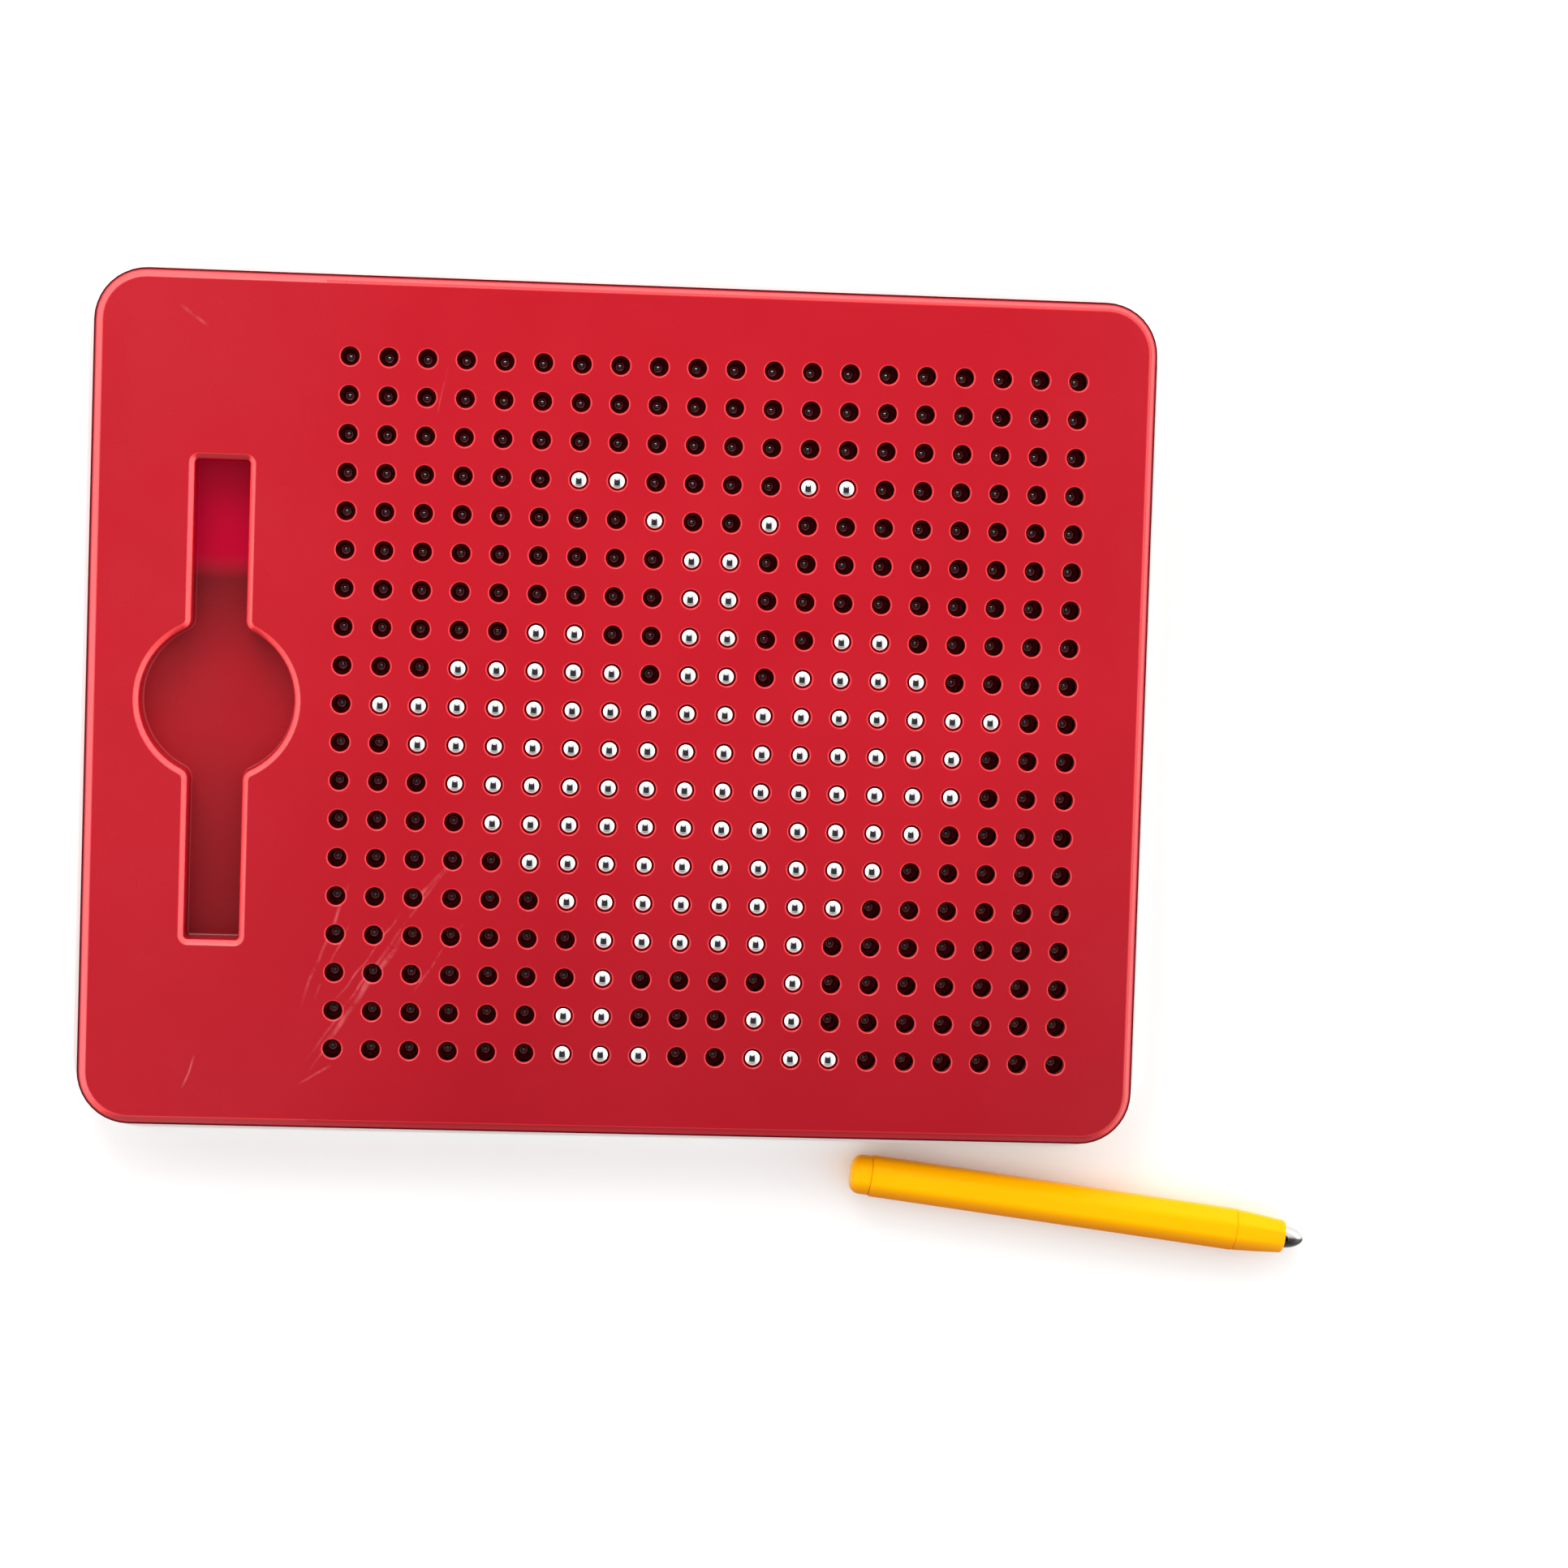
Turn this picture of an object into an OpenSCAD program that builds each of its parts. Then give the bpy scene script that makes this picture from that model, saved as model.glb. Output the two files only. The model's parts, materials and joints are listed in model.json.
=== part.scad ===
// A drawing board of steel beads: a shallow case whose face is pierced by a grid of round holes,
// one bead captive under each hole, and a loose faceted stylus with a magnet behind its steel tip.
// The case lies on its back: X runs to the right, Y up the board, Z out of the face.
// The origin is the middle of the flat back.

/* [Case] */
// Width of the front cover
board_width = 263; // [256:1:280]
// Height of the front cover
board_height = 211; // [205:1:225]
// Corner radius of the front cover, seen from the front
corner_radius = 13; // [11:0.5:16]
// Width of the bevel round the front edge, seen from the front
bevel_width = 2.4; // [1:0.1:2.6]
// How far the back cover stands out beyond the front cover
back_lip = 2.1; // [1.6:0.1:3]
// Height of the back cover's outer wall
back_wall_height = 5; // [4:0.5:7]

/* [Bead grid] */
// Distance between neighbouring holes
pitch = 9.5; // [9.2:0.05:9.6]
// Distance of the grid's middle to the right of the case's middle
grid_offset = 21.4; // [19:0.1:22]
// Diameter of the narrow part of a hole
throat_diameter = 4.56; // [4.5:0.01:4.6]
// Diameter of the flared mouth of a hole
mouth_diameter = 5.8; // [5.2:0.1:6]

/* [Stylus recess] */
// Width of the long slot
slot_width = 13.5; // [13:0.1:14.5]
// Length of the long slot
slot_length = 118.4; // [118:0.2:130]
// Diameter of the round finger well across the slot
well_diameter = 38.2; // [34:0.2:39]
// Depth of the recess below the face
recess_depth = 11; // [9.5:0.1:11]

/* [Stylus] */
// Whole length of the stylus
stylus_length = 117.4; // [112:0.2:117.6]
// Width of the stylus across its corners
stylus_width = 11.2; // [10:0.1:12]

/* [Hidden] */
$fn = 64;
bit = 0.01;

columns = 20;
rows = 19;

// Heights of the layers, from the flat back to the face
face_z = 16;
floor_thickness = 2;
pad_z = [2.05, 3.05];
tube_z = 3.4;
web_z = 9.35;
plate_top_z = 10.55;
sheet_z = [10.6, 11.5];
face_tube_z = 11.55;
face_underside_z = 13.8;
skirt_z = 2.2;

// Case walls
wall = 2.2;
lip_gap = 0.2;
rib_gap = 0.3;
rib_wall = 1.2;
rib_top_z = 7.6;
bevel_slope = 0.8;
bevel_height = bevel_width * bevel_slope;
back_corner = corner_radius + back_lip + 3;
back_edge_rounding = 1.8;

// Beads, as standard 6 mm steel balls, with the room left round a raised one
bead_radius = 3;
bead_stands_out = 0.25;
bead_travel = 7;
bead_room = 0.2;
raised_z = face_z + bead_stands_out - bead_radius;
lowered_z = raised_z - bead_travel;

// A cell, measured down from the face
throat_radius = throat_diameter / 2;
cell_radius = 3.25;
throat_rise = sqrt(pow(bead_radius + bead_room, 2) - pow(throat_radius, 2));
throat_start = 0.42;
throat_end = bead_radius - bead_stands_out - throat_rise;
seat_end = throat_end + (cell_radius - throat_radius) * throat_radius / throat_rise;
tube_radius = 4.1;
sheet_hole_radius = 2.7;

grid_margin = 0.5;
grid_half_w = (columns - 1) / 2 * pitch + tube_radius + grid_margin;
grid_half_h = (rows - 1) / 2 * pitch + tube_radius + grid_margin;

// Recess
recess_x = -99.3;
recess_floor_z = face_z - recess_depth;
recess_wall = 1.6;
slot_corner = 1;
recess_rim = 1.4;

// Screws
screw_x = [-121, 0, 121];
screw_y = [-96, 96];
boss_radius = 3.6;
screw_radius = 1.4;
screw_pilot = 1.45;
pilot_spare_depth = 0.5;
screw_clearance = 1.65;
head_radius = 2.75;
head_start_z = 0.35;
head_gap = 0.05;
head_pocket = 3.15;
pocket_depth = 2;
cross_slot = [3, 0.6, 1.2];
screw_pad_radius = 4.2;
screw_pad_z = 3.55;
boss_gap = 0.15;
screw_top_z = 11;

// Stylus, measured from its butt along its length
cap_length = 5;
cap_step = 0.3;
cap_bevel_width = 1.1;
cap_bevel_length = 1.4;
seam = 0.05;
barrel_end = stylus_length * 0.845;
nose_end = stylus_length - 5.2;
nose_radius = 4.3;
tip_radius = 2.8;
tip_collar = 0.8;
tip_blunt = 1.3;
tip_shank = 1.95;
magnet_radius = 2.4;
magnet_length = 8;
magnet_end = nose_end - 2;
core_radius = 3.6;
spigot_length = 9;
spigot_play = 0.1;
barrel_bore_start = 6;
stylus_angle = -7.2;
stylus_middle = [120.4, -122.6];
stylus_z = stylus_width / 2 * cos(22.5);

// Rows of raised beads: row counted from the top, then first and last column, counted from the left
raised_runs = [
    [3, 6, 7], [3, 12, 13],
    [4, 8, 8], [4, 11, 11],
    [5, 9, 10],
    [6, 9, 10],
    [7, 5, 6], [7, 9, 10], [7, 13, 14],
    [8, 3, 7], [8, 9, 10], [8, 12, 15],
    [9, 1, 17],
    [10, 2, 16],
    [11, 3, 16],
    [12, 4, 15],
    [13, 5, 14],
    [14, 6, 13],
    [15, 7, 12],
    [16, 7, 7], [16, 12, 12],
    [17, 6, 7], [17, 11, 12],
    [18, 6, 8], [18, 11, 13]
];

// A flat outline with round corners, from squares and circles
module rounded_outline(w, h, r) {
    square([w - 2 * r, h], center = true);
    square([w, h - 2 * r], center = true);
    for (sx = [-1, 1], sy = [-1, 1])
        translate([sx * (w / 2 - r), sy * (h / 2 - r)])
            circle(r);
}

// Half of a slab's section: a straight side with a rounded or a bevelled outer edge at the top
module slab_section(half, height, rounding, bevelled) {
    if (bevelled) {
        polygon([
            [0, 0],
            [half, 0],
            [half, height - bevel_height],
            [half - bevel_width, height],
            [0, height]
        ]);
    } else {
        square([half - rounding, height]);
        square([half, height - rounding]);
        translate([half - rounding, height - rounding])
            circle(rounding);
    }
}

// A whole slab's section
module whole_section(half, height, rounding, bevelled) {
    slab_section(half, height, rounding, bevelled);
    mirror([1, 0]) slab_section(half, height, rounding, bevelled);
}

// A slab with round corners and a rounded or bevelled edge round its top
module rounded_slab(w, h, r, height, rounding = 0, bevelled = false) {
    rotate([90, 0, 0])
        linear_extrude(h - 2 * r, center = true)
            whole_section(w / 2, height, rounding, bevelled);
    rotate([90, 0, 90])
        linear_extrude(w - 2 * r, center = true)
            whole_section(h / 2, height, rounding, bevelled);
    for (sx = [-1, 1], sy = [-1, 1])
        translate([sx * (w / 2 - r), sy * (h / 2 - r), 0])
            rotate_extrude()
                slab_section(r, height, rounding, bevelled);
}

// Children at every cell of the grid
module at_cells() {
    for (c = [0 : columns - 1], r = [0 : rows - 1])
        translate([cell_x(c), cell_y(r), 0])
            children();
}

function cell_x(c) = grid_offset + (c - (columns - 1) / 2) * pitch;
function cell_y(r) = ((rows - 1) / 2 - r) * pitch;

// Plain cylinder between two heights
module rod(r, z0, z1) {
    translate([0, 0, z0]) cylinder(r = r, h = z1 - z0);
}

// The section of one hole in the face, turned into a cutter
module hole_cutter() {
    rotate_extrude()
        polygon([
            [0, face_z + 1],
            [mouth_diameter / 2, face_z + 1],
            [mouth_diameter / 2, face_z],
            [throat_radius, face_z - throat_start],
            [throat_radius, face_z - throat_end],
            [cell_radius, face_z - seat_end],
            [cell_radius, face_tube_z - 1],
            [0, face_tube_z - 1]
        ]);
}

module recess_outline(grow) {
    rounded_outline(slot_width + 2 * grow, slot_length + 2 * grow, slot_corner + grow);
    circle(well_diameter / 2 + grow);
}

// A section that widens towards the face over the height of the rim
module flared_section(half) {
    flare = recess_rim + bit;
    polygon([
        [-half, face_z - recess_rim],
        [half, face_z - recess_rim],
        [half + flare, face_z + bit],
        [-half - flare, face_z + bit]
    ]);
}

// A cone that widens towards the face over the height of the rim
module flared_cone(r) {
    flare = recess_rim + bit;
    translate([0, 0, face_z - recess_rim])
        cylinder(r1 = r, r2 = r + flare, h = flare);
}

// The recess's chamfered rim: flared blocks and corner cones along the slot, a cone round the well
module recess_rim_cutter() {
    half = slot_width / 2;
    reach = slot_length / 2;
    rotate([90, 0, 0])
        linear_extrude(2 * (reach - slot_corner), center = true)
            flared_section(half);
    rotate([90, 0, 90])
        linear_extrude(2 * (half - slot_corner), center = true)
            flared_section(reach);
    for (sx = [-1, 1], sy = [-1, 1])
        translate([sx * (half - slot_corner), sy * (reach - slot_corner), 0])
            flared_cone(slot_corner);
    flared_cone(well_diameter / 2);
}

module front_cover() {
    inner_w = board_width - 2 * wall;
    inner_h = board_height - 2 * wall;
    color([0.80, 0.16, 0.20])
    difference() {
        union() {
            difference() {
                translate([0, 0, skirt_z])
                    rounded_slab(board_width, board_height, corner_radius, face_z - skirt_z, bevelled = true);
                translate([0, 0, skirt_z - 1])
                    linear_extrude(face_underside_z - skirt_z + 1)
                        rounded_outline(inner_w, inner_h, corner_radius - wall);
            }
            translate([recess_x, 0, recess_floor_z - recess_wall])
                linear_extrude(face_underside_z + bit - recess_floor_z + recess_wall)
                    recess_outline(recess_wall);
            at_cells() rod(tube_radius, face_tube_z, face_underside_z + bit);
            for (x = screw_x, y = screw_y)
                translate([x, y, 0])
                    rod(boss_radius, screw_pad_z + boss_gap, face_underside_z + bit);
        }
        translate([recess_x, 0, recess_floor_z])
            linear_extrude(recess_depth + 1)
                recess_outline(0);
        translate([recess_x, 0, 0])
            recess_rim_cutter();
        at_cells() hole_cutter();
        for (x = screw_x, y = screw_y)
            translate([x, y, 0])
                rod(screw_pilot, screw_pad_z, screw_top_z + pilot_spare_depth);
    }
}

module cell_plate() {
    color([0.72, 0.12, 0.16])
    difference() {
        union() {
            translate([grid_offset - grid_half_w, -grid_half_h, web_z])
                cube([2 * grid_half_w, 2 * grid_half_h, plate_top_z - web_z]);
            at_cells() rod(tube_radius, tube_z, web_z + bit);
        }
        at_cells() rod(cell_radius, tube_z - 1, plate_top_z + 1);
    }
}

module grip_sheet() {
    color([0.85, 0.30, 0.32])
    difference() {
        translate([grid_offset - grid_half_w, -grid_half_h, sheet_z[0]])
            cube([2 * grid_half_w, 2 * grid_half_h, sheet_z[1] - sheet_z[0]]);
        at_cells() rod(sheet_hole_radius, sheet_z[0] - 1, sheet_z[1] + 1);
    }
}

module floor_pad() {
    color([0.12, 0.12, 0.13])
    translate([grid_offset - grid_half_w, -grid_half_h, pad_z[0]])
        cube([2 * grid_half_w, 2 * grid_half_h, pad_z[1] - pad_z[0]]);
}

module back_cover() {
    outer_w = board_width + 2 * back_lip;
    outer_h = board_height + 2 * back_lip;
    groove_w = board_width + 2 * lip_gap;
    groove_h = board_height + 2 * lip_gap;
    rib_w = board_width - 2 * wall - 2 * rib_gap;
    rib_h = board_height - 2 * wall - 2 * rib_gap;
    rib_r = corner_radius - wall - rib_gap;
    color([0.94, 0.94, 0.92])
    difference() {
        union() {
            difference() {
                translate([0, 0, back_wall_height])
                    mirror([0, 0, 1])
                        rounded_slab(outer_w, outer_h, back_corner, back_wall_height, back_edge_rounding);
                translate([0, 0, floor_thickness])
                    linear_extrude(back_wall_height)
                        rounded_outline(groove_w, groove_h, corner_radius + lip_gap);
            }
            translate([0, 0, floor_thickness - bit])
                linear_extrude(rib_top_z - floor_thickness)
                    difference() {
                        rounded_outline(rib_w, rib_h, rib_r);
                        rounded_outline(rib_w - 2 * rib_wall, rib_h - 2 * rib_wall, rib_r - rib_wall);
                    }
            for (x = screw_x, y = screw_y)
                translate([x, y, 0])
                    rod(screw_pad_radius, floor_thickness - bit, screw_pad_z);
        }
        for (x = screw_x, y = screw_y)
            translate([x, y, 0]) {
                rod(head_pocket, -1, pocket_depth);
                rod(screw_clearance, pocket_depth - bit, screw_pad_z + 1);
            }
    }
}

module case_screws() {
    color([0.62, 0.62, 0.64])
    for (x = screw_x, y = screw_y)
        translate([x, y, 0])
            difference() {
                union() {
                    rod(head_radius, head_start_z, pocket_depth - head_gap);
                    rod(screw_radius, pocket_depth - head_gap - bit, screw_top_z);
                }
                for (a = [0, 90])
                    rotate([0, 0, a])
                        translate([-cross_slot[0] / 2, -cross_slot[1] / 2, 0])
                            cube(cross_slot);
            }
}

function is_raised(c, r) = len([for (s = raised_runs) if (s[0] == r && c >= s[1] && c <= s[2]) 1]) > 0;

// The beads of one row that stand raised, or those that lie low; rows are numbered from 1 at the top
module beads(row_number, raised) {
    r = row_number - 1;
    z = raised ? raised_z : lowered_z;
    color([0.75, 0.76, 0.78])
    for (c = [0 : columns - 1])
        if (is_raised(c, r) == raised)
            translate([cell_x(c), cell_y(r), z])
                sphere(bead_radius);
}

// Lays children, built upright from the butt at 0, down on the resting surface
module laid_down() {
    translate([stylus_middle[0], stylus_middle[1], stylus_z])
        rotate([0, 0, stylus_angle])
            rotate([0, 90, 0])
                translate([0, 0, -stylus_length / 2])
                    rotate([0, 0, 22.5])
                        children();
}

module eight_sided(r1, r2, z0, z1) {
    translate([0, 0, z0])
        cylinder(r1 = r1, r2 = r2, h = z1 - z0, $fn = 8);
}

module stylus_barrel() {
    r = stylus_width / 2;
    color([1.0, 0.74, 0.10])
    laid_down()
        difference() {
            eight_sided(r, r, cap_length, barrel_end);
            rod(core_radius, barrel_bore_start, barrel_end + 1);
        }
}

module stylus_end_cap() {
    r = stylus_width / 2;
    color([1.0, 0.72, 0.08])
    laid_down() {
        eight_sided(r - cap_step - cap_bevel_width, r - cap_step, 0, cap_bevel_length);
        eight_sided(r - cap_step, r - cap_step, cap_bevel_length, cap_length - seam);
    }
}

module stylus_nose() {
    r = stylus_width / 2;
    color([1.0, 0.72, 0.08])
    laid_down()
        difference() {
            union() {
                eight_sided(r, nose_radius, barrel_end + seam, nose_end);
                rod(core_radius - spigot_play, barrel_end - spigot_length, barrel_end + 2 * seam);
            }
            rod(magnet_radius + seam, magnet_end - magnet_length - seam, nose_end + 1);
        }
}

module stylus_magnet() {
    color([0.45, 0.45, 0.47])
    laid_down()
        rod(magnet_radius, magnet_end - magnet_length, magnet_end);
}

module stylus_tip() {
    color([0.78, 0.79, 0.80])
    laid_down() {
        rod(magnet_radius, nose_end - tip_shank, nose_end);
        rod(tip_radius, nose_end, nose_end + tip_collar);
        translate([0, 0, nose_end + tip_collar])
            cylinder(r1 = tip_radius, r2 = tip_blunt, h = stylus_length - tip_blunt - nose_end - tip_collar);
        translate([0, 0, stylus_length - tip_blunt])
            sphere(tip_blunt);
    }
}

front_cover();
cell_plate();
grip_sheet();
floor_pad();
back_cover();
case_screws();
beads(4, true);  // raised_beads_row_04
beads(5, true);  // raised_beads_row_05
beads(6, true);  // raised_beads_row_06
beads(7, true);  // raised_beads_row_07
beads(8, true);  // raised_beads_row_08
beads(9, true);  // raised_beads_row_09
beads(10, true);  // raised_beads_row_10
beads(11, true);  // raised_beads_row_11
beads(12, true);  // raised_beads_row_12
beads(13, true);  // raised_beads_row_13
beads(14, true);  // raised_beads_row_14
beads(15, true);  // raised_beads_row_15
beads(16, true);  // raised_beads_row_16
beads(17, true);  // raised_beads_row_17
beads(18, true);  // raised_beads_row_18
beads(19, true);  // raised_beads_row_19
beads(1, false);  // lowered_beads_row_01
beads(2, false);  // lowered_beads_row_02
beads(3, false);  // lowered_beads_row_03
beads(4, false);  // lowered_beads_row_04
beads(5, false);  // lowered_beads_row_05
beads(6, false);  // lowered_beads_row_06
beads(7, false);  // lowered_beads_row_07
beads(8, false);  // lowered_beads_row_08
beads(9, false);  // lowered_beads_row_09
beads(10, false);  // lowered_beads_row_10
beads(11, false);  // lowered_beads_row_11
beads(12, false);  // lowered_beads_row_12
beads(13, false);  // lowered_beads_row_13
beads(14, false);  // lowered_beads_row_14
beads(15, false);  // lowered_beads_row_15
beads(16, false);  // lowered_beads_row_16
beads(17, false);  // lowered_beads_row_17
beads(18, false);  // lowered_beads_row_18
beads(19, false);  // lowered_beads_row_19
stylus_barrel();
stylus_end_cap();
stylus_nose();
stylus_magnet();
stylus_tip();
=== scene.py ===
"""A bead drawing board and its magnetic stylus on a pale table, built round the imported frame."""

import json
import math

import bmesh
import bpy
import numpy as np
from mathutils import Matrix, Vector
from mathutils.geometry import delaunay_2d_cdt


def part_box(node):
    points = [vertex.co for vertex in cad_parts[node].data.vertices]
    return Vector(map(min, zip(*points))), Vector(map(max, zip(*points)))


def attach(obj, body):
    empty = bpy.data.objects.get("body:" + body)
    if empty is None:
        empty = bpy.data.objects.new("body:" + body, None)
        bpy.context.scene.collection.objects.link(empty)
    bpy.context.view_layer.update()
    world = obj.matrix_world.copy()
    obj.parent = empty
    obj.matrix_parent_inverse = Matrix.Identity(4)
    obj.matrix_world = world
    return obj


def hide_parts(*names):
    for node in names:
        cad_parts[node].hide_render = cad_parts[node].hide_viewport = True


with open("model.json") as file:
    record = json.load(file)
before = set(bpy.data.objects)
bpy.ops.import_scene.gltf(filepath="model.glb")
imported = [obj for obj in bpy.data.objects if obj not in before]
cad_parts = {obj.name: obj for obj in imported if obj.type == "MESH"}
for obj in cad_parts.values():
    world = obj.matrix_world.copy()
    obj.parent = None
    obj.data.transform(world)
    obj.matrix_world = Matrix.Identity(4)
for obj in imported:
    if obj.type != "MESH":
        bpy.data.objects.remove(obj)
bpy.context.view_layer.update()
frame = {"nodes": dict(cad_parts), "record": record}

MM = 0.001
# The dark red that the board's colour is mixed towards where shade is painted.
PAINTED_SHADE_RED = (0.02, 0.002, 0.004, 1)

# All sizes are in millimetres. The board lies on its back, its middle at the origin, its face up.
# A bevel is (width, drop, easing of its two corners).

# Front cover
BOARD_W, BOARD_H = 263.0, 211.0
CORNER = 13.0
BEVEL = (2.3, 1.9, 0.3)
FACE_Z = 16.0
SKIRT_Z = 2.2
WALL = 2.2
UNDERSIDE_Z = 13.8
TUBE_Z = 11.55
TUBE_R = 4.1

# Back cover
LIP = 2.1
BACK_W, BACK_H = BOARD_W + 2 * LIP, BOARD_H + 2 * LIP
BACK_CORNER = CORNER + LIP + 3
BACK_Z = 5.0
BACK_FLOOR_Z = 2.0
BACK_EDGE = 1.8
BACK_TOP_EDGE = 0.4
GROOVE = 0.2
SCREWS = [(x, y) for x in (-121, 0, 121) for y in (-96, 96)]
POCKET_R = 3.15
POCKET_DEPTH = 1.99

# Grid of holes and beads
COLUMNS, ROWS = 20, 19
PITCH = 9.5
GRID_X = 21.4
BEAD_R = 3.0
HOLE_SEGMENTS = 26
THROAT_R = 2.28
THROAT_END = 0.66
SEAT_END = 1.6
MOUTH = (0.44, 0.36, 0.08)
CELL_R = 3.25

# Stylus recess
RECESS_X = -99.3
RECESS_SIDE_X = -75.0
SLOT_HALF_W, SLOT_HALF_L = 6.75, 59.2
SLOT_CORNER = 1.0
WELL_R = 19.1
JUNCTION_R = 2.8
RIM = (1.4, 1.2, 0.25)
RECESS_FLOOR_Z = 5.0
RECESS_FILLET = 0.7
RECESS_WALL = 1.6

# Stylus
STYLUS_MIDDLE = (120.4, -122.6)
STYLUS_ANGLE = math.radians(-7.2)
STYLUS_LENGTH = 117.4
STYLUS_R = 5.6
HALF_FACET = 22.5
APOTHEM = STYLUS_R * math.cos(math.radians(HALF_FACET))
CAP_END = 5.0
CAP_EDGE = 2.6
BARREL_END = STYLUS_LENGTH * 0.845
NOSE_END = STYLUS_LENGTH - 5.2
NOSE_R = 4.3
GATE_MARK = 10.6

# Room
TABLE_SIZE = 6000.0
TABLE_Z = -0.15


# ---------------------------------------------------------------- camera

def place_camera():
    """The camera stands almost straight above the face, a little up and left of its middle."""
    turn = Vector((math.radians(2.9128), math.radians(4.3135), math.radians(-1.7150)))
    to_camera = Matrix.Rotation(turn.length, 4, turn.normalized())
    stand = Vector((-57.528 + GRID_X, 33.862, 1015.442 + FACE_Z)) * MM
    data = bpy.data.cameras.new("photo_camera")
    data.lens = 94.08
    data.sensor_width = 36
    data.clip_end = 20
    camera = bpy.data.objects.new("photo_camera", data)
    bpy.context.scene.collection.objects.link(camera)
    camera.matrix_world = Matrix.Translation(stand) @ to_camera.inverted()
    bpy.context.scene.camera = camera


# ---------------------------------------------------------------- materials

RANGE_SOCKETS = ("From Min", "From Max", "To Min", "To Max")


class Nodes:
    """A short way to write a node tree round one Principled shader."""

    def __init__(self, name, **sockets):
        self.material = bpy.data.materials.new(name)
        self.material.use_nodes = True
        self.tree = self.material.node_tree
        self.shader = self.tree.nodes["Principled BSDF"]
        for key, value in sockets.items():
            self.shader.inputs[key.replace("_", " ")].default_value = value
        self.place = self.add("ShaderNodeTexCoord").outputs["Object"]

    def add(self, kind, **settings):
        node = self.tree.nodes.new(kind)
        for key, value in settings.items():
            setattr(node, key, value)
        return node

    def link(self, a, b):
        self.tree.links.new(a, b)

    def split(self, vector):
        node = self.add("ShaderNodeSeparateXYZ")
        self.link(vector, node.inputs["Vector"])
        return tuple(node.outputs)

    def placed(self, x, y, turn):
        """Coordinates round a point of the face in millimetres, turned by an angle in degrees."""
        node = self.add("ShaderNodeMapping", vector_type="TEXTURE")
        node.inputs["Location"].default_value = (x * MM, y * MM, 0)
        node.inputs["Rotation"].default_value[2] = math.radians(turn)
        self.link(self.place, node.inputs["Vector"])
        return node.outputs["Vector"]

    def folded(self, operation, first, *others):
        """Several values joined by one operation, such as a product or the highest."""
        for other in others:
            first = self.math(operation, first, other)
        return first

    def product(self, *masks):
        return self.folded("MULTIPLY", *masks)

    def highest(self, *masks):
        return self.folded("MAXIMUM", *masks)

    def less(self, mask):
        """What a mask leaves out."""
        return self.math("SUBTRACT", 1, mask)

    def absolute(self, value):
        return self.math("ABSOLUTE", value, 0)

    def band(self, value, start, end, low=0, high=1):
        """Like ramp, between two places in millimetres."""
        return self.ramp(value, low, high, start * MM, end * MM)

    def noise(self, scale, detail=4.0, rough=0.55, stretch=None):
        node = self.add("ShaderNodeTexNoise")
        node.inputs["Scale"].default_value = scale
        node.inputs["Detail"].default_value = detail
        node.inputs["Roughness"].default_value = rough
        self.link(self.stretched(stretch), node.inputs["Vector"])
        return node.outputs["Fac"]

    def stretched(self, stretch):
        if stretch is None:
            return self.place
        node = self.add("ShaderNodeMapping", vector_type="POINT")
        node.inputs["Scale"].default_value = stretch
        self.link(self.place, node.inputs["Vector"])
        return node.outputs["Vector"]

    def ramp(self, value, low, high, from_low=0.0, from_high=1.0):
        """value, clamped between two levels and spread from low to high."""
        node = self.add("ShaderNodeMapRange")
        for key, number in zip(RANGE_SOCKETS, (from_low, from_high, low, high)):
            node.inputs[key].default_value = number
        self.link(value, node.inputs["Value"])
        return node.outputs["Result"]

    def math(self, operation, a, b):
        node = self.add("ShaderNodeMath", operation=operation)
        for socket, value in zip(node.inputs, (a, b)):
            if isinstance(value, (int, float)):
                socket.default_value = value
            else:
                self.link(value, socket)
        return node.outputs[0]

    def mix(self, factor, a, b):
        node = self.add("ShaderNodeMix", data_type="RGBA")
        sockets = [s for s in node.inputs if s.type == "RGBA"]
        self.link(factor, node.inputs["Factor"])
        for socket, value in zip(sockets, (a, b)):
            if isinstance(value, tuple):
                socket.default_value = value
            else:
                self.link(value, socket)
        return [s for s in node.outputs if s.type == "RGBA"][0]

    def bump(self, height, strength, distance, below=None):
        node = self.add("ShaderNodeBump")
        node.inputs["Strength"].default_value = strength
        node.inputs["Distance"].default_value = distance
        self.link(height, node.inputs["Height"])
        if below is not None:
            self.link(below, node.inputs["Normal"])
        return node.outputs["Normal"]

    def scratch(self, x, y, turn, length, width, wobble):
        """A thin, broken, slightly wandering line on the face, round a middle point in millimetres."""
        along, across, _ = self.split(self.placed(x, y, turn))
        drift = self.math("MULTIPLY", self.math("SUBTRACT", self.noise(45, detail=2), 0.5), wobble * MM)
        line = self.band(self.absolute(self.math("ADD", across, drift)), 0, width, 1, 0)
        window = self.band(self.absolute(along), length / 4, length / 2, 1, 0)
        broken = self.ramp(self.noise(170, detail=6, rough=0.75), 0, 1, 0.40, 0.60)
        return self.product(line, window, broken)

    def finish(self, color=None, roughness=None, normal=None):
        for key, value in (("Base Color", color), ("Roughness", roughness), ("Normal", normal)):
            if value is not None:
                self.link(value, self.shader.inputs[key])
        return self.material


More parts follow.
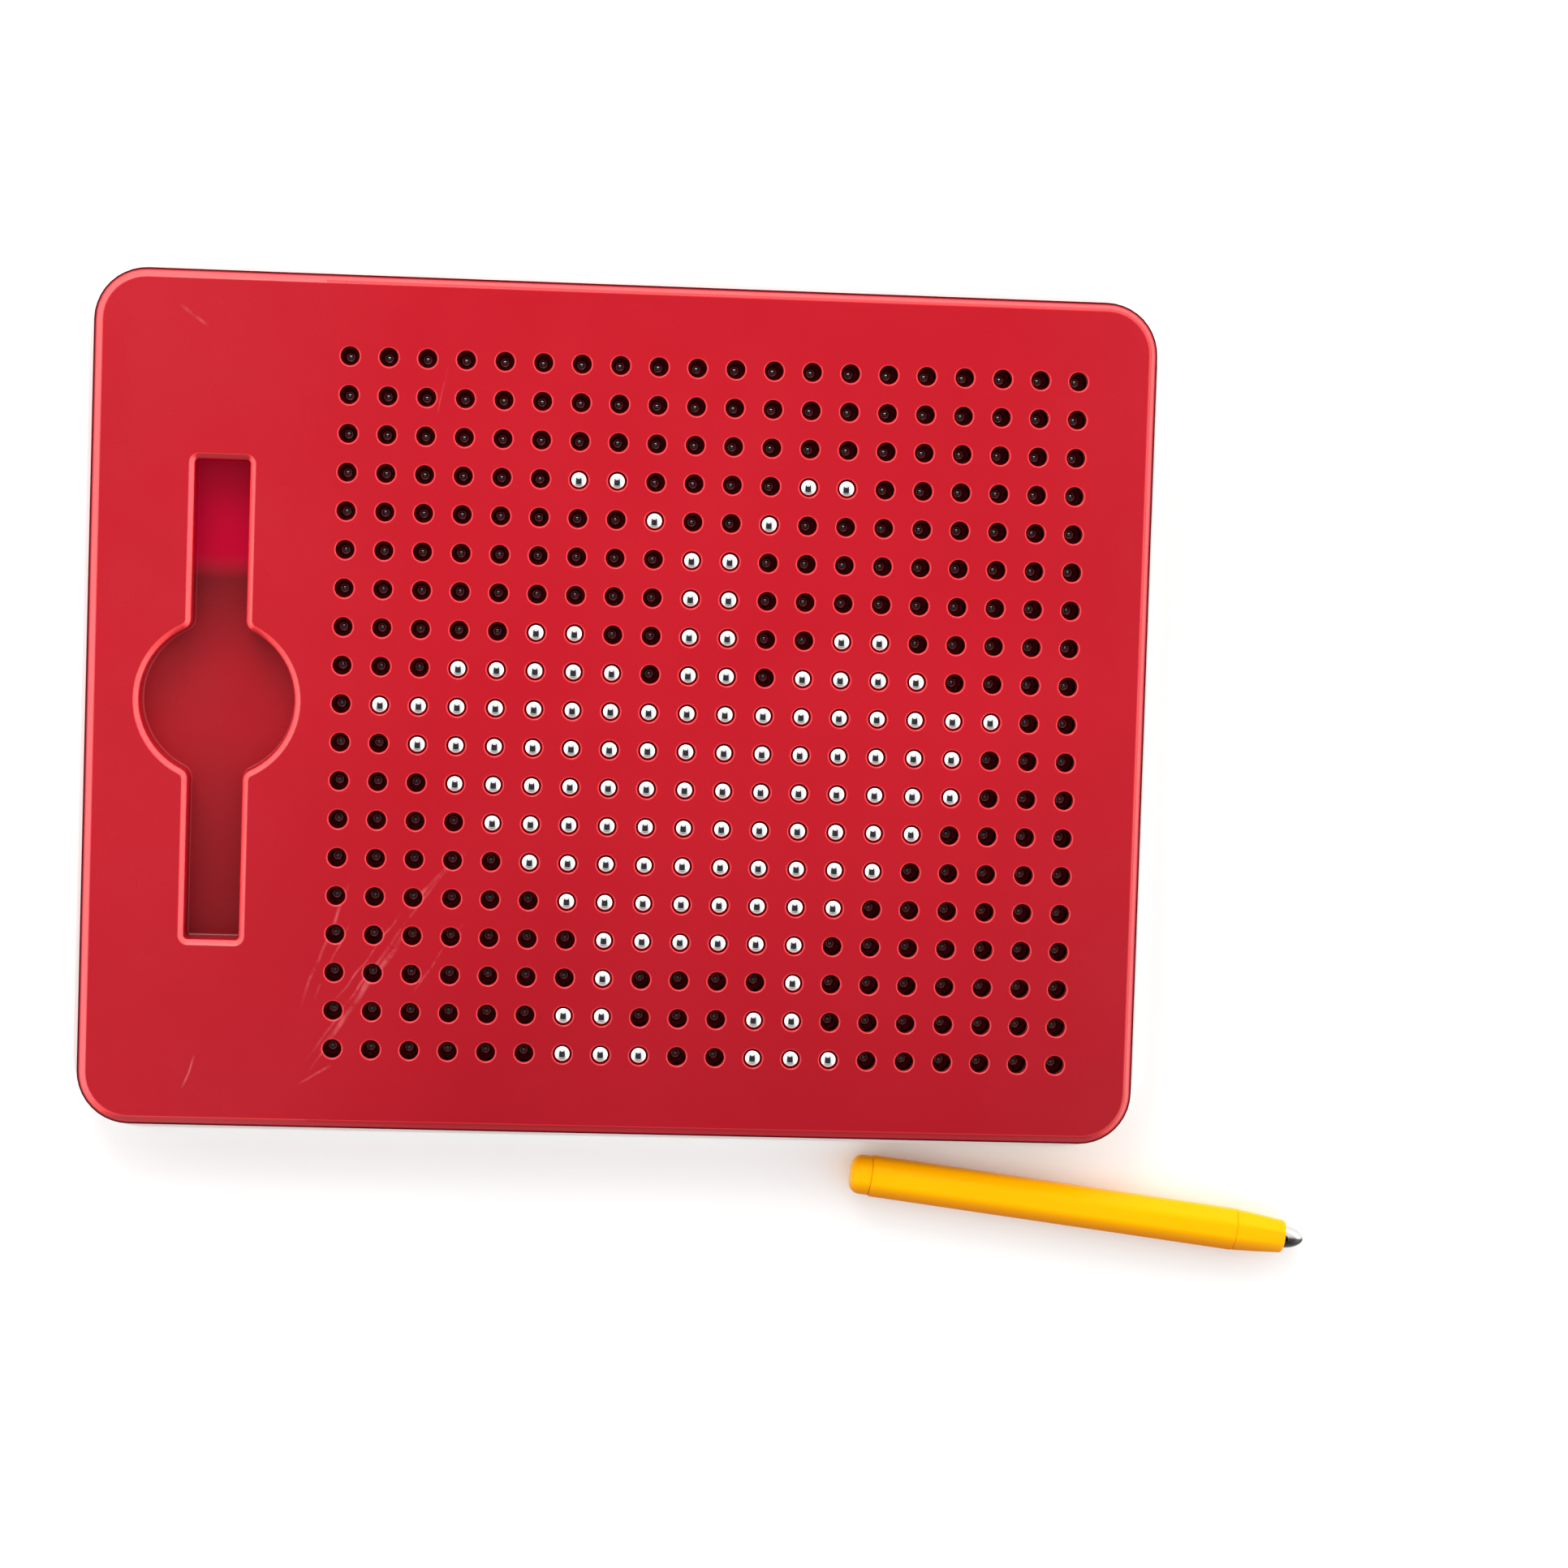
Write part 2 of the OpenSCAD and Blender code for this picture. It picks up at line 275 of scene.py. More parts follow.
def moulded_plastic(name, dark, light, rough=(0.3, 0.42), grain=0.00001, scratches=(), shading=None, **more):
    """Injection-moulded plastic: faint flow in its colour, a fine grain and thin handling scratches.

    shading, where given, paints light and shade into the colour by place.
    """
    n = Nodes(name, **more)
    color = n.mix(n.ramp(n.noise(18, detail=3), 0, 1, 0.2, 0.8), dark, light)
    if shading:
        color = shading(n, color)
    level = n.ramp(n.noise(45, detail=3), rough[0], rough[1], 0.2, 0.8)
    fine = n.bump(n.noise(900, detail=2), 0.35, grain)
    normal = n.bump(n.noise(9, detail=2), 0.03, 0.0001, fine)
    if scratches:
        total = n.highest(*[n.scratch(*scratch) for scratch in scratches])
        pale = tuple(min(1.0, c * 1.2 + 0.16) for c in light[:3]) + (1.0,)
        color = n.mix(n.math("MULTIPLY", total, 0.4), color, pale)
        level = n.math("ADD", level, n.math("MULTIPLY", total, 0.3))
        normal = n.bump(total, 0.25, 0.00003, normal)
    return n.finish(color, level, normal)


def near_outline(n, x, y, margin):
    """1 where a point of the board lies closer than margin to its outline, corners included."""
    reaches = []
    for side, half in ((x, BOARD_W / 2), (y, BOARD_H / 2)):
        past_corner = n.math("SUBTRACT", n.absolute(side), (half - CORNER) * MM)
        reaches.append(n.math("POWER", n.math("MAXIMUM", past_corner, 0), 2))
    from_corner = n.math("SQRT", n.math("ADD", *reaches), 0)
    edge = CORNER - margin
    return n.band(from_corner, edge - 0.6, edge)


def board_painted_light_and_shade(n, color):
    """Red with painted highlights on the bevels, painted light at the recess's upper end, and painted shade
    in holes and towards the foot.
    """
    x, y, z = n.split(n.place)
    _, toward_y, facing = n.split(n.add("ShaderNodeNewGeometry").outputs["Normal"])
    outside = near_outline(n, x, y, 1.5)
    in_recess = n.math("LESS_THAN", x, RECESS_SIDE_X * MM)
    in_grid = n.product(n.less(outside), n.less(in_recess))

    # bevels: a painted highlight, brighter than the face, less so at the mouths of the holes; painted shade
    # where they look to the foot
    neither_flat_nor_wall = n.product(n.ramp(facing, 0, 1, 0.35, 0.6), n.ramp(facing, 1, 0, 0.90, 0.985))
    steep = n.product(neither_flat_nor_wall, n.band(z, 14.4, 14.9))
    near_edge = n.highest(n.band(n.absolute(y), 93, 95), in_recess)
    towards_foot = n.product(n.ramp(toward_y, 1, 0, -0.62, -0.52), near_edge, steep)
    bevel = n.product(steep, n.less(towards_foot), n.ramp(in_grid, 1, 0.75))
    color = n.mix(n.math("MULTIPLY", bevel, 0.8), color, (0.95, 0.02, 0.025, 1))

    # painted shade: towards the foot of the face, a dark line along the foot of the bevel, the lower recess,
    # the inside of the holes
    foot = n.product(n.band(y, -105, 5, 0.27, 0), n.band(x, -120, -30, 0.3, 1))
    bevel_foot_shade = n.product(n.band(z, 13.3, 13.6), n.band(z, 14.4, 14.8, 1, 0), outside)
    recess_floor = n.band(z, 6, 9, 1, 0)
    upper_end = n.band(y, 30, 36)
    recess_shade_level = n.math("ADD", n.band(y, -58, -8, 0.40, 0.04), n.band(y, 8, 30, 0, 0.42))
    lower_recess_shade = n.product(recess_floor, recess_shade_level, n.less(upper_end))
    hole = n.product(n.band(z, 15.6, 15.75, 0.85, 0), n.band(z, 13.9, 14.5, 0.5, 1), in_grid)
    dark_bevel_foot_shade = n.math("MULTIPLY", bevel_foot_shade, 0.85)
    bevel_shade = n.math("MULTIPLY", towards_foot, 0.15)
    color = n.mix(n.highest(foot, dark_bevel_foot_shade, bevel_shade, lower_recess_shade, hole), color, PAINTED_SHADE_RED)

    # sheen: none in the dark places, more towards the sides of the face and on the bevels
    # painted light: the upper end of the recess floor is painted a brighter red, as if lit, with no sheen
    # there
    painted_glow = n.product(recess_floor, upper_end, in_recess)
    dull = n.highest(n.math("MULTIPLY", painted_glow, 0.85), bevel_foot_shade, hole)
    from_middle = n.absolute(n.math("SUBTRACT", x, GRID_X * MM))
    sheen = n.highest(n.band(from_middle, 70, 125, 0.2, 0.46), n.product(bevel, n.ramp(in_grid, 0.8, 0.55)))
    n.link(n.product(n.less(dull), sheen), n.shader.inputs["Specular IOR Level"])
    # the painted light at the recess's upper end goes into the colour last
    return n.mix(painted_glow, color, (0.58, 0.0, 0.036, 1))


def near_side(n, dark_end, light_end):
    """1 on the stylus's near side, 0 on its far side; the two ends are distances from its axis."""
    across = n.split(n.placed(*STYLUS_MIDDLE, math.degrees(STYLUS_ANGLE)))[1]
    return n.band(across, dark_end, light_end, 1, 0)


# painted shade: the near side of the stylus is painted a darker amber
def stylus_painted_shade(n, color):
    return n.mix(near_side(n, -4.6, -1.2), color, (0.56, 0.17, 0.0, 1))


def tip_painted_reflection(n, color):
    """Painted reflection: the tip's near side is painted dark, as if it mirrored something dark."""
    return n.mix(near_side(n, 0.0, 0.7), color, (0.05, 0.047, 0.042, 1))


def polished_steel(name, tint, rough=(0.05, 0.14), scale=260.0, shading=None):
    n = Nodes(name, Metallic=1.0)
    cloud = n.noise(scale, detail=4)
    color = n.mix(cloud, tuple(0.9 * c for c in tint[:3]) + (1.0,), tint)
    if shading:
        color = shading(n, color)
    level = n.ramp(n.noise(scale * 3, detail=5), rough[0], rough[1], 0.3, 0.7)
    normal = n.bump(n.noise(scale * 5, detail=3), 0.05, 0.00001)
    return n.finish(color, level, normal)


def brushed_metal(name, tint):
    n = Nodes(name, Metallic=1.0)
    lines = n.noise(1, detail=6, stretch=(300, 4000, 300))
    color = n.mix(lines, tuple(0.8 * c for c in tint[:3]) + (1.0,), tint)
    return n.finish(color, n.ramp(lines, 0.25, 0.45), n.bump(lines, 0.15, 0.00001))


def soft_sheet(name, dark, light, pore=1400.0):
    n = Nodes(name)
    cells = n.noise(pore, detail=4, rough=0.7)
    color = n.mix(n.ramp(cells, 0, 1, 0.35, 0.65), dark, light)
    return n.finish(color, n.ramp(cells, 0.75, 0.95), n.bump(cells, 0.5, 0.00004))


def floor_material():
    n = Nodes("pale_table")
    cloud = n.noise(6, detail=4)
    color = n.mix(cloud, (0.90, 0.90, 0.89, 1), (0.93, 0.93, 0.93, 1))
    return n.finish(color, n.ramp(cloud, 0.6, 0.7), n.bump(n.noise(500), 0.1, 0.00002))


# Each scratch: middle x, y in millimetres, angle in degrees, length, half width, wander
FACE_SCRATCHES = [
    (-57, -62, 54, 66, 0.45, 6),
    (-61, -70, 55, 40, 0.8, 4),
    (-45, -44, 50, 24, 0.6, 5),
    (-66, -77, 58, 34, 0.35, 6),
    (-60, -62, 52, 30, 0.3, 8),
    (-71, -60, 69, 34, 0.5, 4),
    (-69, -64, 66, 22, 0.3, 7),
    (-44, -63, 53, 24, 0.35, 4),
    (-73, -92, 30, 10, 0.4, 2),
    (-107, 94, -38, 9, 0.5, 2),
    (-104, -92, 70, 9, 0.35, 3),
    (-46, 78, 80, 12, 0.2, 3),
]


def make_materials():
    return {
        "red_cover": moulded_plastic(
            "red_cover_plastic", (0.43, 0.004, 0.013, 1), (0.47, 0.006, 0.016, 1),
            rough=(0.24, 0.3), scratches=FACE_SCRATCHES, shading=board_painted_light_and_shade,
        ),
        "red_inner": moulded_plastic("red_inner_plastic", (0.46, 0.010, 0.022, 1), (0.52, 0.014, 0.028, 1)),
        "grip_sheet": soft_sheet("red_soft_sheet", (0.55, 0.05, 0.06, 1), (0.62, 0.07, 0.08, 1)),
        "floor_pad": soft_sheet("dark_foam", (0.012, 0.012, 0.013, 1), (0.03, 0.03, 0.032, 1)),
        "white_cover": moulded_plastic(
            "white_cover_plastic", (0.84, 0.83, 0.80, 1), (0.88, 0.87, 0.85, 1), rough=(0.38, 0.5),
        ),
        "screw_steel": brushed_metal("zinc_screw", (0.62, 0.62, 0.64, 1)),
        "bead_steel": polished_steel("bead_steel", (0.93, 0.93, 0.93, 1), rough=(0.01, 0.05)),
        "yellow_plastic": moulded_plastic(
            "yellow_plastic", (0.96, 0.41, 0.0, 1), (0.99, 0.45, 0.0, 1),
            rough=(0.28, 0.36), grain=0.000008, shading=stylus_painted_shade, Specular_IOR_Level=0.04,
        ),
        "magnet": brushed_metal("plated_magnet", (0.45, 0.45, 0.47, 1)),
        "tip_steel": polished_steel(
            "tip_steel", (0.74, 0.73, 0.71, 1), rough=(0.05, 0.12), shading=tip_painted_reflection,
        ),
    }


# ---------------------------------------------------------------- mesh helpers

def arc(cx, cy, r, start, end, steps):
    """Points on an arc, ends included; angles in degrees."""
    out = []
    for i in range(steps + 1):
        a = math.radians(start + (end - start) * i / steps)
        out.append((cx + r * math.cos(a), cy + r * math.sin(a)))
    return out


def rounded_rectangle(w, h, r, steps=10):
    points = []
    for k, (sx, sy) in enumerate(((1, 1), (-1, 1), (-1, -1), (1, -1))):
        points += arc(sx * (w / 2 - r), sy * (h / 2 - r), r, 90 * k, 90 * k + 90, steps)
    return points


def inset(w, h, r, step_in):
    """A rounded rectangle taken in all round by step_in."""
    return rounded_rectangle(w - 2 * step_in, h - 2 * step_in, r - step_in)


def circle(cx, cy, r, steps):
    return arc(cx, cy, r, 0, 360, steps)[:-1]


def recess_outline(grow):
    """The keyhole outline, let out by grow: a slot with nearly square ends and a round well across it."""
    junction_x = SLOT_HALF_W + JUNCTION_R
    junction_y = math.sqrt((WELL_R + JUNCTION_R) ** 2 - junction_x ** 2)
    theta = math.degrees(math.atan2(junction_y, junction_x))
    inner = JUNCTION_R - grow
    end_x, end_y = SLOT_HALF_W - SLOT_CORNER, SLOT_HALF_L - SLOT_CORNER
    end_r = SLOT_CORNER + grow
    points = arc(0, 0, WELL_R + grow, -theta, theta, 24)
    points += arc(junction_x, junction_y, inner, 180 + theta, 180, 6)
    points += arc(end_x, end_y, end_r, 0, 90, 6)
    points += arc(-end_x, end_y, end_r, 90, 180, 6)
    points += arc(-junction_x, junction_y, inner, 0, -theta, 6)
    points += arc(0, 0, WELL_R + grow, 180 - theta, 180 + theta, 24)
    points += arc(-junction_x, -junction_y, inner, theta, 0, 6)
    points += arc(-end_x, -end_y, end_r, 180, 270, 6)
    points += arc(end_x, -end_y, end_r, 270, 360, 6)
    points += arc(junction_x, -junction_y, inner, 180, 180 - theta, 6)
    return [(x + RECESS_X, y) for x, y in points]


def inside(point, loop):
    """Even-odd test of a point against a closed loop."""
    x, y = point
    odd = False
    for (x0, y0), (x1, y1) in zip(loop, loop[1:] + loop[:1]):
        if (y0 > y) != (y1 > y) and x < (x1 - x0) * (y - y0) / (y1 - y0) + x0:
            odd = not odd
    return odd


class Builder:
    """Collects rings and flat areas in millimetres, and turns them into one object in metres.

    Faces made by area carry the mark "flat", which keep_flat_areas_flat uses and removes.
    """

    def __init__(self):
        self.mesh = bmesh.new()
        self.flat = self.mesh.faces.layers.int.new("flat")

    def ring(self, points, z):
        return [self.mesh.verts.new((x * MM, y * MM, z * MM)) for x, y in points]

    def face(self, verts, flip=False, flat=0):
        verts = list(dict.fromkeys(verts))
        if len(verts) > 2:
            self.mesh.faces.new(verts[::-1] if flip else verts)[self.flat] = flat

    def bridge(self, a, b, flip=False):
        count = len(a)
        for i in range(count):
            j = (i + 1) % count
            self.face((a[i], a[j], b[j], b[i]), flip)

    def tube(self, sections, flip=False):
        """Bridges a row of (points, z) sections; returns the first and last ring."""
        rings = [self.ring(points, z) for points, z in sections]
        for a, b in zip(rings, rings[1:]):
            self.bridge(a, b, flip)
        return rings[0], rings[-1]

    def filled(self, loop, z, up=True):
        """A flat area inside a loop that needn't be convex."""
        around = rounded_rectangle(300, 300, 10)
        self.area(around, [loop], z, up, hole_test=lambda p: not inside(p, loop))

    def bar(self, sections):
        """A tube closed at both ends."""
        first, last = self.tube(sections)
        self.face(first, flip=True)
        self.face(last)

    def area(self, outer, holes, z, up=True, hole_test=None):
        """A flat area inside a convex outer loop, less the holes."""
        points = list(outer)
        edges = [(i, (i + 1) % len(outer)) for i in range(len(outer))]
        for hole in holes:
            first, count = len(points), len(hole)
            points += hole
            edges += [(first + i, first + (i + 1) % count) for i in range(count)]
        made = delaunay_2d_cdt([Vector(p) for p in points], edges, [], 0, 1e-6)
        where, triangles = made[0], made[2]
        verts = [self.mesh.verts.new((p.x * MM, p.y * MM, z * MM)) for p in where]
        test = hole_test or (lambda p: any(inside(p, h) for h in holes))
        for t in triangles:
            middle = (sum(where[i].x for i in t) / 3, sum(where[i].y for i in t) / 3)
            if not test(middle):
                self.face([verts[i] for i in t], flip=not up, flat=1)

    def done(self, name, material, body, replaced=(), sharp=35.0, place=None):
        bmesh.ops.remove_doubles(self.mesh, verts=self.mesh.verts, dist=1e-6)
        bmesh.ops.dissolve_degenerate(self.mesh, edges=self.mesh.edges, dist=1e-7)
        loose = [v for v in self.mesh.verts if not v.link_faces]
        bmesh.ops.delete(self.mesh, geom=loose, context="VERTS")
        mesh = bpy.data.meshes.new(name)
        self.mesh.to_mesh(mesh)
        self.mesh.free()
        if place is not None:
            mesh.transform(place)
        for polygon in mesh.polygons:
            polygon.use_smooth = True
        mesh.set_sharp_from_angle(angle=math.radians(sharp))
        keep_flat_areas_flat(mesh, sharp)
        mesh.materials.append(material)
        obj = bpy.data.objects.new(name, mesh)
        bpy.context.scene.collection.objects.link(obj)
        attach(obj, body)
        if replaced:
            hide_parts(*replaced)
        return obj


def keep_flat_areas_flat(mesh, sharp):
    """Rounded edges run out into a flat area with the area's own normal, so that it shades as one plane."""
    count = len(mesh.polygons)
    flagged = np.zeros(count, np.int32)
    mesh.attributes["flat"].data.foreach_get("value", flagged)
    mesh.attributes.remove(mesh.attributes["flat"])
    if not flagged.any():
        return
    corner = np.array([n.vector for n in mesh.corner_normals])
    vertex = np.zeros(len(mesh.loops), np.int32)
    mesh.loops.foreach_get("vertex_index", vertex)
    normal = np.zeros(count * 3, np.float32)
    mesh.polygons.foreach_get("normal", normal)
    normal = normal.reshape(-1, 3)
    totals = np.zeros(count, np.int32)
    mesh.polygons.foreach_get("loop_total", totals)
    owner = np.repeat(np.arange(count), totals)
    plane = np.zeros((len(mesh.vertices), 3), np.float32)
    on_flat = flagged[owner] == 1
    plane[vertex[on_flat]] = normal[owner[on_flat]]
    touching = plane[vertex]
    near = (normal[owner] * touching).sum(1) > math.cos(math.radians(sharp))
    corner[near] = touching[near]
    corner[on_flat] = normal[owner[on_flat]]
    mesh.normals_split_custom_set(corner.tolist())


def quarter(radius, steps):
    """(how far in from the wall, how far below the top) along a quarter round, from its side to its top."""
    for i in range(steps + 1):
        a = math.pi / 2 * i / steps
        yield radius * (1 - math.cos(a)), radius * (1 - math.sin(a))


def eased_bevel(width, drop, ease, steps=3):
    """(how far in from the wall, how far below the top) along a bevel with eased corners, side first."""
    run = math.hypot(width, drop)
    across, up = width / run * ease, drop / run * ease
    corners = (
        ((0, drop + ease), (0, drop), (across, drop - up)),
        ((width - across, up), (width, 0), (width + ease, 0)),
    )
    for curve in corners:
        for i in range(steps + 1):
            t = i / steps
            weights = ((1 - t) ** 2, 2 * t * (1 - t), t ** 2)
            yield tuple(sum(w * point[k] for w, point in zip(weights, curve)) for k in (0, 1))


def reach(bevel):
    """How far in from the wall a bevel ends."""
    return bevel[0] + bevel[2]


# ---------------------------------------------------------------- the case

def cell_x(c):
    return GRID_X + (c - (COLUMNS - 1) / 2) * PITCH


def cell_y(r):
    return ((ROWS - 1) / 2 - r) * PITCH


CELLS = [(cell_x(c), cell_y(r)) for r in range(ROWS) for c in range(COLUMNS)]


def in_a_hole(radius, recess):
    """A quick test of whether a point is in any hole of the grid or in the recess."""
    half_step = math.pi / HOLE_SEGMENTS
    recess_side = max(x for x, _ in recess)

    def test(p):
        c = round((p[0] - GRID_X) / PITCH + (COLUMNS - 1) / 2)
        r = round((ROWS - 1) / 2 - p[1] / PITCH)
        if 0 <= c < COLUMNS and 0 <= r < ROWS:
            dx, dy = p[0] - cell_x(c), p[1] - cell_y(r)
            from_middle_of_side = math.atan2(dy, dx) % (2 * half_step) - half_step
            if math.hypot(dx, dy) * math.cos(from_middle_of_side) < radius * math.cos(half_step):
                return True
        return p[0] < recess_side and inside(p, recess)

    return test


def front_cover(material):
    b = Builder()
    mouth = THROAT_R + reach(MOUTH)
    profile = [(THROAT_R + out, FACE_Z - below) for out, below in eased_bevel(*MOUTH, steps=1)][::-1]
    profile += [
        (THROAT_R, FACE_Z - THROAT_END),
        (CELL_R, FACE_Z - SEAT_END),
        (CELL_R, TUBE_Z),
        (TUBE_R, TUBE_Z),
        (TUBE_R, UNDERSIDE_Z),
    ]

    # outside: skirt, bevelled edge
    outer = [(rounded_rectangle(BOARD_W, BOARD_H, CORNER), SKIRT_Z)]
    for step_in, below in eased_bevel(*BEVEL):
        outer.append((inset(BOARD_W, BOARD_H, CORNER, step_in), FACE_Z - below))
    b.tube(outer)

    # inside: skirt's foot, inner wall, underside
    inner = inset(BOARD_W, BOARD_H, CORNER, WALL)
    b.tube([(outer[0][0], SKIRT_Z), (inner, SKIRT_Z), (inner, UNDERSIDE_Z)], flip=True)

    # face
    holes = [circle(x, y, mouth, HOLE_SEGMENTS) for x, y in CELLS]
    recess = recess_outline(reach(RIM))
    b.area(outer[-1][0], holes + [recess], FACE_Z, hole_test=in_a_hole(mouth, recess))
    under = [circle(x, y, TUBE_R, HOLE_SEGMENTS) for x, y in CELLS]
    recess_back = recess_outline(RECESS_WALL)
    b.area(inner, under + [recess_back], UNDERSIDE_Z, up=False, hole_test=in_a_hole(TUBE_R, recess_back))

    # every hole: flared mouth, throat, seat, cell
    for x, y in CELLS:
        b.tube([(circle(x, y, r, HOLE_SEGMENTS), z) for r, z in profile])

    # recess: bevelled rim, wall, small fillet, floor
    sections = [(recess_outline(out), FACE_Z - below) for out, below in eased_bevel(*RIM)][::-1]
    sections.append((recess_outline(0), RECESS_FLOOR_Z + RECESS_FILLET))
    for step_in, below in list(quarter(RECESS_FILLET, 3))[1:]:
        sections.append((recess_outline(-step_in), RECESS_FLOOR_Z + below))
    b.tube(sections)
    b.filled(sections[-1][0], RECESS_FLOOR_Z)
    back_z = RECESS_FLOOR_Z - RECESS_WALL
    b.tube([(recess_back, UNDERSIDE_Z), (recess_back, back_z)], flip=True)
    b.filled(recess_back, back_z, up=False)
    return b.done("front_cover_shell", material, "case", ["front_cover"])


def back_cover(material):
    b = Builder()
    sides = [(step_in, below) for step_in, below in quarter(BACK_EDGE, 6)][::-1]
    sides += [(step_in, BACK_Z - below) for step_in, below in quarter(BACK_TOP_EDGE, 3)]
    sections = [(inset(BACK_W, BACK_H, BACK_CORNER, step_in), z) for step_in, z in sides]
    groove = inset(BOARD_W, BOARD_H, CORNER, -GROOVE)
    sections += [(groove, BACK_Z), (groove, BACK_FLOOR_Z)]
    b.tube(sections)
    b.area(groove, [], BACK_FLOOR_Z)
    pockets = [circle(x, y, POCKET_R, 32) for x, y in SCREWS]
    b.area(sections[0][0], pockets, 0.0, up=False)
    for pocket in pockets:
        b.tube([(pocket, 0.0), (pocket, POCKET_DEPTH)], flip=True)
        b.area(pocket, [], POCKET_DEPTH, up=False)
    return b.done("back_cover_shell", material, "case", ["back_cover"])


# ---------------------------------------------------------------- beads

def bead_rows(material):
    """A fine ball in place of each CAD ball, row by row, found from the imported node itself."""
    for name in sorted(frame["nodes"]):
        if "beads_row" not in name:
            continue
        low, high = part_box(name)
        middle_z = (low.z + high.z) / 2
        row_y = (low.y + high.y) / 2
        fineness = 4 if name.startswith("raised") else 3
        b = Builder()
        taken = {round((v.co.x / MM - cell_x(0)) / PITCH) for v in frame["nodes"][name].data.vertices}
        for c in sorted(taken):
            place = Matrix.Translation((cell_x(c) * MM, row_y, middle_z))
            bmesh.ops.create_icosphere(b.mesh, subdivisions=fineness, radius=BEAD_R * MM, matrix=place)
        body = name.replace("_beads", "")
        b.done(name.replace("beads", "balls"), material, body, [name], sharp=180)


# ---------------------------------------------------------------- stylus

def eight_sided(apothem, rounding):
    """An octagon with rounded corners and a flat underneath, as points round its axis."""
    corner = (apothem - rounding) / math.cos(math.radians(HALF_FACET))
    points = []
    for k in range(8):
        middle = HALF_FACET * (2 * k + 1)
        cx = corner * math.cos(math.radians(middle))
        cy = corner * math.sin(math.radians(middle))
        points += arc(cx, cy, rounding, middle - HALF_FACET, middle + HALF_FACET, 4)
    return points


def stylus_place():
    """From upright, butt at the origin, to lying on the table."""
    return (
        Matrix.Translation((STYLUS_MIDDLE[0] * MM, STYLUS_MIDDLE[1] * MM, APOTHEM * MM))
        @ Matrix.Rotation(STYLUS_ANGLE, 4, "Z")
        @ Matrix.Rotation(math.pi / 2, 4, "Y")
        @ Matrix.Translation((0, 0, -STYLUS_LENGTH / 2 * MM))
    )


def eight_sided_bar(name, material, node, profile):
    """A yellow piece from rows of (how far inside the flats, corner rounding, distance from the butt)."""
    b = Builder()
    b.bar([(eight_sided(APOTHEM - step_in, rounding), z) for step_in, rounding, z in profile])
    b.done(name, material, "stylus", [node], place=stylus_place())


def round_bar(name, material, replaced, profile, segments, place, sharp=35.0):
    """A turned piece from rows of (radius, distance along its axis)."""
    b = Builder()
    b.bar([(circle(0, 0, r, segments), z) for r, z in profile])
    b.done(name, material, "stylus", replaced, place=place, sharp=sharp)


def stylus(yellow, steel):
    place = stylus_place()

    # end cap: a rounded butt and a step before the barrel
    profile = []
    for step_in, below in list(quarter(CAP_EDGE, 8))[::-1]:
        profile.append((0.25 + step_in, max(1.2, 3.4 - 0.5 * step_in), below))
    profile.append((0.25, 3.4, CAP_END - 0.25))
    profile.append((0.4, 3.3, CAP_END - 0.05))
    eight_sided_bar("stylus_end_cap_moulding", yellow, "stylus_end_cap", profile)

    # barrel: its corners get sharper towards the tip
    eight_sided_bar("stylus_barrel_moulding", yellow, "stylus_barrel", [
        (0.3, 3.4, CAP_END),
        (0.08, 3.5, CAP_END + 0.12),
        (0, 3.5, CAP_END + 0.4),
        (0, 3.0, 40),
        (0, 2.2, BARREL_END - 8),
        (0, 2.0, BARREL_END - 0.25),
        (0.2, 2.0, BARREL_END),
    ])

    # the small round mark of the mould's gate, on the upper facet of the near side
    facet = (
        place
        @ Matrix.Translation((0, 0, GATE_MARK * MM))
        @ Matrix.Rotation(math.radians(225), 4, "Z")
        @ Matrix.Rotation(math.pi / 2, 4, "Y")
        @ Matrix.Translation((0, 0, APOTHEM * MM))
    )
    profile = ((0.5, -0.4), (0.5, 0.06), (0.42, 0.12), (0.2, 0.15))
    round_bar("stylus_gate_mark", yellow, (), profile, 20, facet)

    # nose: tapers to the tip
    taper = APOTHEM - NOSE_R * math.cos(math.radians(HALF_FACET))
    eight_sided_bar("stylus_nose_moulding", yellow, "stylus_nose", [
        (0.25, 1.9, BARREL_END + 0.05),
        (0.1, 1.9, BARREL_END + 0.3),
        (taper / 2, 1.4, (BARREL_END + NOSE_END) / 2),
        (taper - 0.05, 1.2, NOSE_END - 0.6),
        (taper + 0.35, 1.3, NOSE_END - 0.1),
        (taper + 0.7, 1.2, NOSE_END),
    ])

    # tip: a steel bullet, from its collar to its blunt end
    bullet = (
        (2.80, 0.0),
        (2.82, 0.5),
        (2.74, 1.2),
        (2.52, 2.2),
        (2.14, 3.2),
        (1.62, 4.1),
        (1.00, 4.8),
        (0.45, 5.12),
        (0.10, 5.19),
    )
    profile = [(r, NOSE_END - 0.05 + z) for r, z in bullet]
    round_bar("stylus_tip_bullet", steel, ["stylus_tip"], profile, 40, place, sharp=60)


# ---------------------------------------------------------------- room

def area_light(name, place, target, size, power, tint=(1, 1, 1)):
    data = bpy.data.lights.new(name, "AREA")
    data.shape = "RECTANGLE"
    data.size, data.size_y = size
    data.energy = power
    data.color = tint
    light = bpy.data.objects.new(name, data)
    bpy.context.scene.collection.objects.link(light)
    aim = Vector(target) - Vector(place)
    light.matrix_world = Matrix.Translation(place) @ aim.to_track_quat("-Z", "Y").to_matrix().to_4x4()


def spread(tree, value, between, levels):
    node = tree.nodes.new("ShaderNodeMapRange")
    node.interpolation_type = "SMOOTHSTEP"
    for key, number in zip(RANGE_SOCKETS, between + levels):
        node.inputs[key].default_value = number
    tree.links.new(value, node.inputs["Value"])
    return node.outputs["Result"]


